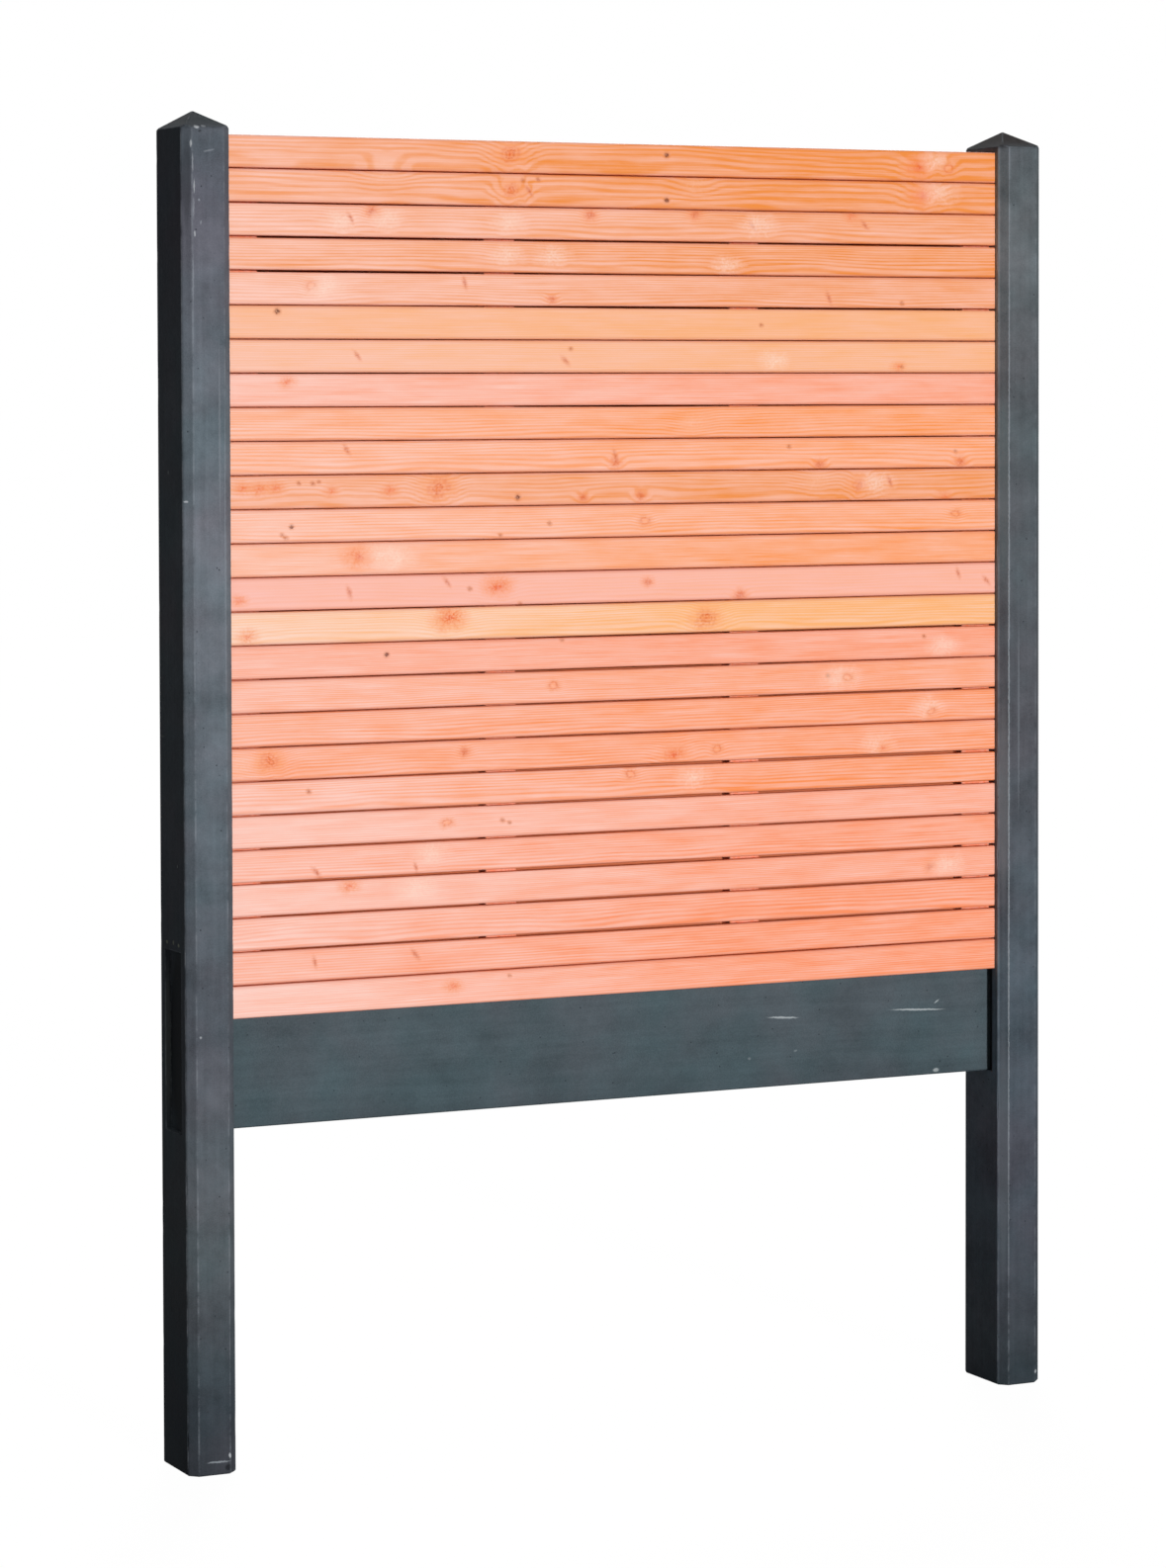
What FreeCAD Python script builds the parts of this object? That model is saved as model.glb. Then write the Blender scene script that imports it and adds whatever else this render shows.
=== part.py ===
import FreeCAD, Part
import math
import os

# One bay of a garden fence: two cast concrete posts with pyramid heads, a concrete base plate whose
# ends sit in pockets in the posts, and a double-sided timber screen that stands on the plate.
# Millimetres. +X runs along the fence, -Y is the front, +Z is up. The origin is the centre of the
# left post's foot.

# Posts
post_width = 105.0         # along the fence
post_depth = 175.0         # front to back
post_chamfer = 18.0        # on the four upright corners
post_height = 2775.0       # foot to tip
head_height = 38.0         # the pyramid alone
foot_bevel = 3.0           # round the foot, from the mould

# Pockets, one in each side face of a post, so that any post can stand between two bays
pocket_width = 90.0        # front to back, at the mouth
pocket_height = 370.0
pocket_depth = 12.0        # into the side face
pocket_draft = 2.0         # the front, back and top walls lean in by this, to free the mould

# Base plate
plate_height = 230.0
plate_thickness = 50.0
plate_bevel = 3.0
plate_end_play = 2.0       # between the plate's end and the pocket's floor

# Screen
screen_width = 1800.0
screen_side_gap = 3.0      # between the screen and each post
screen_overhang = 32.5     # in front of the base plate's face
screen_reveal = 12.0       # below the post's shoulder
slat_count = 26
slat_height = 65.0
slat_gap = 4.4
slat_thickness = 20.0
slat_arris = 2.5           # radius of the planed corners
batten_count = 4
batten_width = 70.0
batten_depth = 35.0
batten_bevel = 1.5
rear_board_height = 65.0
rear_board_thickness = 20.0
rear_board_bevel = 2.0

# Angle brackets between the screen's back and the posts
bracket_height = 50.0
bracket_thickness = 2.5
bracket_screen_leg = 40.0  # beyond the gap beside the post
bracket_post_leg = 28.0
bracket_bend = 4.0         # outer radius of the bend
bracket_hole = 5.0         # diameter
bracket_hole_edge = 12.0   # from the leg's free end
bracket_hole_pitch = 26.0  # between the two holes of a leg
bracket_boards = {"low": 3, "middle": 13, "high": 23}  # rear boards that carry one, from the bottom

# Worked out from the sizes above
slat_pitch = slat_height + slat_gap
screen_height = slat_count * slat_pitch - slat_gap
shoulder_height = post_height - head_height
screen_bottom = shoulder_height - screen_reveal - screen_height
pocket_bottom = screen_bottom - plate_height
clear_width = screen_width + 2 * screen_side_gap
post_spacing = clear_width + post_width
screen_left = post_width / 2 + screen_side_gap
slat_front = -plate_thickness / 2 - screen_overhang
batten_front = slat_front + slat_thickness
rear_front = batten_front + batten_depth
rear_back = rear_front + rear_board_thickness
rear_board_count = slat_count - 1


def point(x, y, z):
    return FreeCAD.Vector(x, y, z)


def polygon(points):
    """A closed wire through the points."""
    return Part.makePolygon(points + points[:1])


def cut_corner_bar(size_x, size_y, length, cut):
    """An upright bar centred on the Z axis, with its four long corners cut off."""
    x, y = size_x / 2, size_y / 2
    outline = polygon([
        point(x - cut, -y, 0), point(x, -y + cut, 0), point(x, y - cut, 0), point(x - cut, y, 0),
        point(-x + cut, y, 0), point(-x, y - cut, 0), point(-x, -y + cut, 0), point(-x + cut, -y, 0),
    ])
    return Part.Face(outline).extrude(point(0, 0, length))


def lay_along_x(bar):
    """Turn an upright bar so that its length runs along +X, its width along Y and its depth along Z."""
    bar.rotate(point(0, 0, 0), point(1, 1, 1), 120)
    return bar


def pyramid_envelope():
    """The post's full rectangle up to the shoulder, with the pyramid on it."""
    x, y = post_width / 2, post_depth / 2
    shaft = Part.makeBox(post_width, post_depth, shoulder_height, point(-x, -y, 0))
    base = [point(-x, -y, shoulder_height), point(x, -y, shoulder_height),
            point(x, y, shoulder_height), point(-x, y, shoulder_height)]
    tip = point(0, 0, post_height)
    faces = [Part.Face(polygon(base))]
    for start, end in zip(base, base[1:] + base[:1]):
        faces.append(Part.Face(polygon([start, end, tip])))
    return shaft.fuse(Part.Solid(Part.Shell(faces)))


def pocket(side):
    """The space of one pocket: side is -1 for the post's -X face and +1 for its +X face.

    It is where two prisms meet. One has the draft of the front and back walls. The other has the
    draft of the top wall and a level sill, so that a plate can stand on it.
    """
    mouth = side * post_width / 2
    floor = mouth - side * pocket_depth
    outside = mouth + side * pocket_depth
    half, bottom, top = pocket_width / 2, pocket_bottom, pocket_bottom + pocket_height
    plan = polygon([
        point(floor, -half + pocket_draft, bottom), point(mouth, -half, bottom),
        point(outside, -half, bottom), point(outside, half, bottom),
        point(mouth, half, bottom), point(floor, half - pocket_draft, bottom),
    ])
    section = polygon([
        point(floor, -half, bottom), point(outside, -half, bottom), point(outside, -half, top),
        point(mouth, -half, top), point(floor, -half, top - pocket_draft),
    ])
    upright = Part.Face(plan).extrude(point(0, 0, pocket_height))
    across = Part.Face(section).extrude(point(0, pocket_width, 0))
    return upright.common(across)


def post(centre_x):
    """A cast post: a shaft with cut corners under a pyramid head, and a pocket in each side face."""
    shaft = cut_corner_bar(post_width, post_depth, post_height, post_chamfer)
    body = shaft.common(pyramid_envelope()).removeSplitter()
    foot_edges = [edge for edge in body.Edges if edge.BoundBox.ZMax < foot_bevel / 2]
    body = body.makeChamfer(foot_bevel, foot_edges)
    body = body.cut(pocket(-1)).cut(pocket(1))
    body.translate(point(centre_x, 0, 0))
    return body


def base_plate():
    """The plate spans the bay, reaches into both inner pockets and stands on their sills."""
    reach = pocket_depth - plate_end_play
    plate = lay_along_x(cut_corner_bar(plate_thickness, plate_height, clear_width + 2 * reach, plate_bevel))
    plate.translate(point(post_width / 2 - reach, 0, pocket_bottom + plate_height / 2))
    return plate


def planed_board():
    """A front slat along +X with rounded arrises, its lower front corner at the origin."""
    depth, height, r = slat_thickness, slat_height, slat_arris
    bulge = r * (1 - math.sqrt(0.5))
    corners = [  # where each arris starts, its middle and where it ends, going round the section
        [(depth - r, 0), (depth - bulge, bulge), (depth, r)],
        [(depth, height - r), (depth - bulge, height - bulge), (depth - r, height)],
        [(r, height), (bulge, height - bulge), (0, height - r)],
        [(0, r), (bulge, bulge), (r, 0)],
    ]
    edges = []
    for corner, following in zip(corners, corners[1:] + corners[:1]):
        start, middle, end = [point(0, y, z) for y, z in corner]
        edges.append(Part.Arc(start, middle, end).toShape())
        edges.append(Part.LineSegment(end, point(0, *following[0])).toShape())
    return Part.Face(Part.Wire(edges)).extrude(point(screen_width, 0, 0))


def slat(number):
    """Front slat, counted from 1 at the top."""
    board = planed_board()
    board.translate(point(screen_left, slat_front, screen_bottom + (slat_count - number) * slat_pitch))
    return board


def batten(number):
    """Upright batten, counted from 1 at the left. It stands on the base plate."""
    step = (screen_width - batten_width) / (batten_count - 1)
    bar = cut_corner_bar(batten_width, batten_depth, screen_height, batten_bevel)
    centre_x = screen_left + batten_width / 2 + (number - 1) * step
    bar.translate(point(centre_x, batten_front + batten_depth / 2, screen_bottom))
    return bar


def rear_board_centre(number):
    """Height of a rear board's middle, counted from 1 at the bottom. Each one backs a gap between slats."""
    return screen_bottom + number * slat_pitch - slat_gap / 2


def rear_boards():
    """The boards on the back of the battens, as separate solids."""
    centre_y = (rear_front + rear_back) / 2
    boards = []
    for number in range(1, rear_board_count + 1):
        board = cut_corner_bar(rear_board_thickness, rear_board_height, screen_width, rear_board_bevel)
        board = lay_along_x(board)
        board.translate(point(screen_left, centre_y, rear_board_centre(number)))
        boards.append(board)
    return Part.makeCompound(boards)


def bracket(side, board_number):
    """A steel angle with one leg on the screen's back and one on the post's inner face."""
    across, back = point(1, 0, 0), point(0, 1, 0)
    long_leg = screen_side_gap + bracket_screen_leg
    legs = Part.makeBox(long_leg, bracket_thickness, bracket_height)
    legs = legs.fuse(Part.makeBox(bracket_thickness, bracket_post_leg, bracket_height)).removeSplitter()
    bend = [e for e in legs.Edges if max(e.BoundBox.XMax, e.BoundBox.YMax) < bracket_thickness / 2]
    legs = legs.makeFillet(bracket_bend, bend)
    for offset in (-bracket_hole_pitch / 2, bracket_hole_pitch / 2):
        z = bracket_height / 2 + offset
        screen_hole = point(long_leg - bracket_hole_edge, 0, z)
        post_hole = point(0, bracket_post_leg - bracket_hole_edge, z)
        legs = legs.cut(Part.makeCylinder(bracket_hole / 2, bracket_thickness, screen_hole, back))
        legs = legs.cut(Part.makeCylinder(bracket_hole / 2, bracket_thickness, post_hole, across))
    post_face = post_width / 2
    if side > 0:
        legs = legs.mirror(point(0, 0, 0), across)
        post_face = post_spacing - post_width / 2
    legs.translate(point(post_face, rear_back, rear_board_centre(board_number) - bracket_height / 2))
    return legs


def save(name, shape):
    shape.exportStep(os.path.join("parts", name + ".step"))


def main():
    os.makedirs("parts", exist_ok=True)
    save("left_post", post(0))
    save("right_post", post(post_spacing))
    save("base_plate", base_plate())
    for number in range(1, slat_count + 1):
        save("slat_%02d" % number, slat(number))
    for number in range(1, batten_count + 1):
        save("batten_%d" % number, batten(number))
    save("rear_boards", rear_boards())
    for side_name, side in (("left", -1), ("right", 1)):
        for level, board_number in bracket_boards.items():
            save("bracket_%s_%s" % (side_name, level), bracket(side, board_number))


main()
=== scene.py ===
import math
import random

import bmesh
import bpy
from mathutils import Matrix, Vector, noise


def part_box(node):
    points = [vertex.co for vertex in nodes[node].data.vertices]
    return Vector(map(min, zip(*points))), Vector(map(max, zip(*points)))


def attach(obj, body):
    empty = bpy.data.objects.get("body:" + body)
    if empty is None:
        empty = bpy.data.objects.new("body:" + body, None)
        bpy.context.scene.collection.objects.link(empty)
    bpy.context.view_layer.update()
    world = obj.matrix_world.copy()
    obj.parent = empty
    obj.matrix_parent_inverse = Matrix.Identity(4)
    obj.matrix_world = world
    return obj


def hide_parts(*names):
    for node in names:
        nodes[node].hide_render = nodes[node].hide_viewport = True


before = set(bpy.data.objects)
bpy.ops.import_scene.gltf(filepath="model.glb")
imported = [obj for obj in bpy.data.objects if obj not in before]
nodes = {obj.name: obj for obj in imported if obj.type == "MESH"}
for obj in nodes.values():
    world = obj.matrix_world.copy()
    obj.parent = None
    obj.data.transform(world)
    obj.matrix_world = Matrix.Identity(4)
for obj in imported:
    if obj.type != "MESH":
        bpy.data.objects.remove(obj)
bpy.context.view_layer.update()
mm = 0.001
print("frame: %d nodes" % len(nodes))


def linear(hexColour):
    # sRGB hex to linear RGBA
    parts = [int(hexColour[i:i + 2], 16) / 255 for i in (1, 3, 5)]
    return [c / 12.92 if c <= 0.04045 else ((c + 0.055) / 1.055) ** 2.4 for c in parts] + [1]


def addNode(tree, kind, inputs=None, stops=(), **settings):
    # inputs: socket -> a value, or another node's output to link
    # stops: a colour ramp's (position, colour, alpha), from left to right
    node = tree.nodes.new("ShaderNode" + kind)
    for name, value in settings.items():
        setattr(node, name, value)
    for socket, value in (inputs or {}).items():
        if isinstance(value, bpy.types.NodeSocket):
            tree.links.new(value, node.inputs[socket])
        else:
            node.inputs[socket].default_value = value
    for number, (position, colour, alpha) in enumerate(stops):
        elements = node.color_ramp.elements
        element = elements[number] if number < 2 else elements.new(position)
        element.position = position
        element.color = linear(colour)[:3] + [alpha]
    return node


def newMaterial(name):
    material = bpy.data.materials.new(name)
    material.use_nodes = True
    material.node_tree.nodes.clear()
    return material, material.node_tree


def placeInMm(tree, corner=(0, 0, 0), turn=(0, 0, 0)):
    # where a point of the surface is, in mm from a corner of its piece
    coords = addNode(tree, "TexCoord")
    place = addNode(tree, "Mapping", {
        "Vector": coords.outputs["Object"], "Location": corner, "Rotation": turn, "Scale": (mm, mm, mm)},
        vector_type="TEXTURE")
    return place.outputs[0]


def addPiece(name, bm, material, slot, *replaced):
    # the mesh is already in its place, so the object stays at the origin
    mesh = bpy.data.meshes.new(name)
    bm.to_mesh(mesh)
    bm.free()
    mesh.materials.append(material)
    piece = bpy.data.objects.new(name, mesh)
    bpy.context.scene.collection.objects.link(piece)
    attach(piece, "root")
    if replaced:
        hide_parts(*replaced)
    return piece


def dress(node, material):
    nodes[node].data.materials.clear()
    nodes[node].data.materials.append(material)


# Front slats: planed softwood boards
slats = {
    "count": 26,
    "arris": 3.4,           # mm, planed round
    "cuts": 59,             # across each board, so that its edges can follow the gaps
    "rightReach": 2.0,      # mm that the boards run on towards the right post
    # width of each gap in mm near its left end, in the middle and near its right end, from the top gap down
    "gaps": [
        (2.0, 1.9, 1.4), (2.7, 1.4, 1.4), (4.2, 3.3, 3.6), (4.2, 2.3, 1.4), (1.4, 4.2, 3.5),
        (1.7, 1.4, 1.6), (2.2, 1.4, 1.4), (1.4, 3.5, 1.8), (1.4, 1.4, 1.9), (1.5, 1.6, 1.6),
        (1.4, 1.5, 2.1), (1.4, 1.5, 1.8), (1.4, 1.4, 1.6), (2.2, 1.9, 1.4), (1.5, 3.1, 3.5),
        (2.4, 5.3, 1.9), (2.2, 3.2, 3.7), (2.4, 3.3, 1.5), (2.3, 5.5, 5.6), (2.9, 4.8, 5.4),
        (3.8, 3.2, 3.2), (4.7, 6.9, 4.6), (3.4, 4.8, 4.5), (3.5, 6.3, 4.6), (1.9, 1.6, 2.4),
    ],
    "gapSteady": 0.2,       # share of the length, at each end, over which a gap keeps its width
    "fibres": 1.5,          # how far the fibres and the clouds deepen the colour
    "clouds": 0.95,
    # share of the thickness behind the face -> colour: painted shade on the arrises and inside the gaps
    "gapShadeStops": [(0.015, "#e07a4c", 0), (0.17, "#e06a38", 0.62), (0.30, "#fa8048", 0.95),
                  (0.85, "#f47c48", 0.95), (0.95, "#c8643c", 0.95)],
    "shadeRimWidth": 6,          # mm of the face beside each edge that takes painted shade from the gaps
    "shadeRim": "#cc6848",
    "shadeRimStrength": 0.38,
    "shadeEnd": 0.65,       # share of the length after which the shade stays as at the right end
    # no gap lies above the top slat, so its painted gap shade fades out between these mm below its upper face
    "fadeFrom": 6,
    "fadeTo": 1,
    "fadeRest": 0.1,        # share of the painted shade that is left on that face
}
slats["corners"] = [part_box("slat_%02d" % (number + 1))[0] for number in range(slats["count"])]
low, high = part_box("slat_01")
slats["length"], slats["thickness"], slats["height"] = [(high[i] - low[i]) / mm for i in range(3)]
slats["pitch"] = (low[2] - slats["corners"][1][2]) / mm

tones = {
    # early wood, late wood
    "orange": ("#fcc5b2", "#f39b64"),
    "apricot": ("#fdc6b2", "#fb9e66"),
    "salmon": ("#fdc9ba", "#fb9d78"),
    "peach": ("#fdc9ba", "#fb9d70"),
    "sand": ("#fbc2aa", "#f9b07a"),
    "rose": ("#fcbeb0", "#fbb296"),
    "honey": ("#fdd4be", "#fcba86"),
}

figures = {
    # how the board was sawn: the pith's height and depth behind the face in mm and how far it wanders,
    # ring density, waviness, and how far the rings deepen the colour
    "flat": {"pith": (-12, 50), "spread": 9, "density": 0.029, "swing": 4.4, "contrast": 0.38},
    "mixed": {"pith": (-30, 50), "spread": 20, "density": 0.036, "swing": 3.6, "contrast": 0.4},
    "straight": {"pith": (-190, 20), "spread": 40, "density": 0.0235, "swing": 2.2, "contrast": 0.34},
}

slatLooks = [
    # tone, shade at the left and right ends from 0 for pale to 1 for deep, figure; from the top slat down;
    # the paler left ends that all slats share are painted light
    ("orange", 0.46, 1.02, "flat"), ("orange", 0.45, 0.96, "flat"), ("orange", 0.15, 0.7, "mixed"),
    ("orange", 0.32, 0.85, "mixed"), ("orange", 0.08, 0.65, "mixed"), ("sand", 0.38, 0.75, "straight"),
    ("sand", 0.08, 0.6, "straight"), ("salmon", 0.2, 0.65, "straight"), ("apricot", 0.35, 0.78, "mixed"),
    ("apricot", 0.3, 0.66, "mixed"), ("orange", 0.4, 0.8, "flat"), ("apricot", 0.12, 0.63, "mixed"),
    ("apricot", 0.18, 0.74, "straight"), ("rose", 0.2, 0.62, "mixed"), ("honey", 0.2, 1, "mixed"),
    ("salmon", 0.4, 0.75, "straight"), ("peach", 0.3, 0.72, "mixed"), ("peach", 0.5, 0.8, "mixed"),
    ("peach", 0.6, 0.78, "mixed"), ("peach", 0.15, 0.85, "mixed"), ("salmon", 0.05, 0.6, "straight"),
    ("salmon", 0.25, 0.78, "mixed"), ("salmon", 0.05, 0.7, "straight"), ("salmon", 0.16, 0.88, "mixed"),
    ("salmon", 0.38, 0.88, "straight"), ("salmon", -0.05, 0.86, "mixed"),
]

knots = {
    # half length and half height in mm, turn in degrees if it lies aslant, rings pushed aside, raggedness
    # in mm, and the colours from the middle to the sound wood at three times the half size
    "eye": {"size": (27, 20), "push": 2.2, "ragged": 30, "stops": [
        (0.00, "#e05824", 0.9), (0.06, "#f0803c", 0.7), (0.13, "#e06428", 0.7), (0.18, "#f4925a", 0.55),
        (0.24, "#ec7a40", 0.5), (0.32, "#f89a5c", 0.4), (0.58, "#fca070", 0.0)]},
    "blush": {"size": (31, 20), "push": 1.6, "ragged": 26, "stops": [
        (0.00, "#e85a24", 0.9), (0.08, "#f07236", 0.8), (0.17, "#f48448", 0.7), (0.32, "#f89460", 0.5),
        (0.58, "#fca070", 0.0)]},
    "red": {"size": (12, 9), "push": 1, "ragged": 14, "stops": [
        (0.00, "#d8602c", 0.85), (0.20, "#e87848", 0.65), (0.42, "#f4905c", 0.35), (0.75, "#fca070", 0.0)]},
    "ring": {"size": (14, 10), "push": 1, "ragged": 16, "stops": [
        (0.00, "#fca470", 0.5), (0.14, "#f8965c", 0.5), (0.22, "#e87038", 0.65), (0.30, "#f08c50", 0.4),
        (0.60, "#fca070", 0.0)]},
    "dot": {"size": (5, 4.6), "push": 0.3, "ragged": 3, "stops": [
        (0.00, "#4a1c10", 0.97), (0.24, "#682a18", 0.92), (0.40, "#b86040", 0.4), (0.75, "#f8a070", 0.0)]},
    "speck": {"size": (4.6, 3.6), "turn": 20, "push": 0.2, "ragged": 4, "stops": [
        (0.00, "#b4542c", 0.8), (0.30, "#cc7040", 0.5), (0.70, "#f8a070", 0.0)]},
    "dash": {"size": (9, 3.4), "turn": 64, "push": 0.3, "ragged": 6, "stops": [
        (0.00, "#c85c38", 0.75), (0.25, "#d87048", 0.55), (0.48, "#e88860", 0.3), (0.80, "#f8a070", 0.0)]},
    "pale": {"size": (26, 15), "push": 0.6, "ragged": 34, "stops": [
        (0.00, "#ffe0d0", 0.55), (0.30, "#ffdac8", 0.38), (0.75, "#ffd2c0", 0.0)]},
    "amber": {"size": (14, 9), "push": 0.6, "ragged": 12, "stops": [
        (0.00, "#f06c2c", 0.75), (0.30, "#f48848", 0.45), (0.75, "#f8a070", 0.0)]},
    "swirl": {"size": (30, 18), "push": 1.2, "ragged": 14, "stops": [
        (0.00, "#ffd0b8", 0.3), (0.35, "#fcc4a8", 0.15), (0.70, "#f0a078", 0.0)]},
}

slatKnots = {
    # slat: (mm from its left end, share of its height from the bottom, kind)
    1: [(344, 0.07, "swirl"), (629, 0.56, "eye"), (994, 0.66, "dot"), (1609, 0.43, "blush"),
        (1652, 0.64, "pale"), (1684, 0.42, "ring")],
    2: [(344, 1.01, "swirl"), (631, 0.46, "eye"), (658, 0.81, "speck"), (672, 0.47, "dash"),
        (693, 0.85, "speck"), (994, 0.26, "dot"), (1060, 0.84, "swirl"), (1619, 0.56, "blush"),
        (1657, 0.66, "pale")],
    3: [(242, 0.45, "pale"), (267, 0.59, "dash"), (315, 0.82, "red"), (346, 0.57, "pale"),
        (622, 0.49, "pale"), (814, 0.81, "red"), (1062, 0.91, "red"), (1200, 0.52, "dash"),
        (1212, 0.55, "pale"), (1442, 0.92, "amber"), (1474, 0.63, "dash")],
    4: [(619, 0.54, "pale"), (724, 0.55, "pale"), (1139, 0.29, "pale")],
    5: [(180, 0.59, "ring"), (209, 0.51, "pale"), (524, 0.72, "dash"), (724, 0.20, "red"),
        (1386, 0.32, "dash"), (1567, 0.15, "speck")],
    6: [(105, 0.84, "dot"), (1221, 0.47, "speck")],
    7: [(281, 0.52, "dash"), (755, 0.37, "dash"), (767, 0.75, "speck"), (1252, 0.37, "pale"),
        (1559, 0.17, "amber"), (1567, 0.16, "speck")],
    8: [(125, 0.76, "amber")],
    9: [(1054, 0.48, "swirl")],
    10: [(257, 0.75, "dash"), (871, 0.26, "red"), (871, 0.48, "dash"), (1288, 0.73, "speck"),
         (1363, 0.13, "red"), (1702, 0.52, "speck"), (1714, 0.18, "red")],
    11: [(27, 0.63, "amber"), (63, 0.59, "amber"), (100, 0.64, "amber"), (150, 0.77, "speck"),
         (181, 0.76, "speck"), (194, 0.82, "speck"), (222, 0.49, "amber"), (352, 0.50, "amber"),
         (462, 0.57, "eye"), (644, 0.23, "dot"), (794, 0.20, "red"), (931, 0.23, "red"),
         (1354, 0.67, "swirl"), (1461, 0.51, "eye"), (1500, 0.57, "pale"), (1537, 0.60, "dash"),
         (1674, 0.04, "amber")],
    12: [(113, 0.22, "speck"), (121, 0.13, "speck"), (134, 0.47, "dot"), (603, 0.10, "speck"),
         (717, 0.45, "speck"), (941, 0.49, "ring"), (1702, 0.55, "ring")],
    13: [(283, 0.56, "blush"), (330, 0.61, "pale"), (372, 0.48, "pale")],
    14: [(18, 0.33, "amber"), (261, 0.50, "dash"), (481, 0.76, "dash"), (533, 0.54, "speck"),
         (596, 0.58, "blush"), (649, 0.00, "speck"), (947, 0.63, "red"), (1168, 0.09, "red"),
         (1709, 0.68, "dash"), (1780, 0.42, "dash")],
    15: [(36, 0.25, "amber"), (485, 0.67, "blush"), (1086, 0.43, "eye")],
    16: [(344, 0.63, "dot"), (745, 0.94, "speck"), (1622, 0.71, "speck"), (1669, 0.36, "pale")],
    17: [(725, 0.54, "ring"), (1383, 0.55, "speck"), (1414, 0.48, "pale"), (1431, 0.49, "ring")],
    18: [(1632, 0.44, "pale"), (1642, 0.31, "ring")],
    19: [(23, 0.48, "swirl"), (82, 0.59, "eye"), (520, 0.64, "red"), (1010, 0.26, "blush"),
         (1112, 0.40, "ring"), (1505, 0.33, "pale"), (1520, 0.23, "amber")],
    20: [(169, 0.65, "speck"), (906, 0.76, "ring"), (1053, 0.59, "pale")],
    21: [(479, 0.51, "ring"), (606, 0.52, "speck"), (622, 0.44, "speck")],
    22: [(185, 0.21, "dash"), (407, 0.23, "dash"), (441, 0.63, "pale")],
    23: [(258, 0.78, "amber"), (407, 0.60, "pale"), (1638, 0.40, "red"), (1679, 0.42, "pale")],
    25: [(181, 0.58, "dash"), (406, 0.63, "dash")],
    26: [(491, 0.58, "amber"), (621, 0.82, "speck")],
}


grain = {
    # mm over which each pattern changes along, through and across the board
    "drift": (380, 90, 75),
    "fibres": (190, 6, 3.2),    # real ones are about 0.1 mm across, drawn 3 mm wide so that they show
    "clouds": (150, 50, 38),
}


def firGrain(tree, place, rng, figure, ringShift):
    # place in mm, the board along X with its face at Y 0; gives late wood, fibres and clouds, each 0 to 1
    pithHeight = figure["pith"][0] + rng.uniform(-1, 1) * figure["spread"]
    pithDepth = figure["pith"][1] + rng.uniform(-1, 1) * figure["spread"]
    density = figure["density"] * rng.uniform(0.9, 1.15)
    # growth rings are circles round a pith that lies outside the board, and the board drifts through them
    across = addNode(tree, "Mapping", {
        "Vector": place, "Location": (0, pithDepth, pithHeight),
        "Scale": (1e6, 1 / density, 1 / density)}, vector_type="TEXTURE")
    squared = addNode(tree, "VectorMath", {0: across.outputs[0], 1: across.outputs[0]},
                      operation="DOT_PRODUCT")
    drifting = addNode(tree, "Mapping", {
        "Vector": place, "Location": (rng.uniform(0, 9000), rng.uniform(0, 900), 0),
        "Scale": grain["drift"]}, vector_type="TEXTURE")
    drift = addNode(tree, "TexNoise", {
        "Vector": drifting.outputs[0], "Scale": 1, "Detail": 2, "Roughness": 0.4})
    rings = addNode(tree, "Math", {
        0: drift.outputs["Fac"], 1: figure["swing"], 2: squared.outputs["Value"]}, operation="MULTIPLY_ADD")
    rings = addNode(tree, "Math", {0: rings.outputs[0], 1: ringShift}, operation="ADD")
    turns = addNode(tree, "Math", {0: rings.outputs[0], 1: 2 * math.pi}, operation="MULTIPLY")
    wave = addNode(tree, "Math", {0: turns.outputs[0]}, operation="SINE")
    lateWood = addNode(tree, "MapRange", {"Value": wave.outputs[0], "From Min": -0.5, "From Max": 1},
                       interpolation_type="SMOOTHSTEP")
    along = addNode(tree, "Mapping", {
        "Vector": place, "Location": (rng.uniform(0, 9000), 0, 0), "Scale": grain["fibres"]},
        vector_type="TEXTURE")
    fibres = addNode(tree, "TexNoise", {
        "Vector": along.outputs[0], "Scale": 1, "Detail": 4, "Roughness": 0.6})
    patches = addNode(tree, "Mapping", {
        "Vector": place, "Location": (rng.uniform(0, 9000), 0, 0), "Scale": grain["clouds"]},
        vector_type="TEXTURE")
    clouds = addNode(tree, "TexNoise", {
        "Vector": patches.outputs[0], "Scale": 1, "Detail": 4, "Roughness": 0.55})
    return lateWood.outputs[0], fibres.outputs["Fac"], clouds.outputs["Fac"]


def firColour(tree, look, figure, shade, lateWood, fibres, clouds, tone):
    # from pale early wood to deep late wood, so that the patterns' averages, 0.4 and 0.5, give the shade
    middle = -0.4 * figure["contrast"] - 0.5 * look["fibres"] - 0.5 * look["clouds"]
    depth = addNode(tree, "Math", {0: shade, 1: middle}, operation="ADD")
    patterns = ((lateWood, figure["contrast"]), (fibres, look["fibres"]), (clouds, look["clouds"]))
    for pattern, strength in patterns:
        depth = addNode(tree, "Math", {0: pattern, 1: strength, 2: depth.outputs[0]},
                        operation="MULTIPLY_ADD")
    pale, deep = tones[tone]
    depth = addNode(tree, "Clamp", {"Value": depth.outputs[0], "Min": -0.2, "Max": 1.25})
    colour = addNode(tree, "Mix", {"Factor": depth.outputs[0], "A": linear(pale), "B": linear(deep)},
                     data_type="RGBA", clamp_factor=False)
    return colour.outputs["Result"]


finishes = {
    # relief of the ridges beside that of the fibres, strength and depth in mm of both, the smoothest
    # roughness, which the fibres raise by up to 0.2, and shine
    "planed": {"ridges": 0.3, "relief": 0.2, "depth": 0.5, "smooth": 0.55, "shine": 0.2},
    "planedRear": {"ridges": 0.4, "relief": 0.25, "depth": 0.6, "smooth": 0.55, "shine": 0.2},
    "sawn": {"ridges": 0.3, "relief": 0.4, "depth": 0.8, "smooth": 0.75, "shine": 0.15},
}


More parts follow.
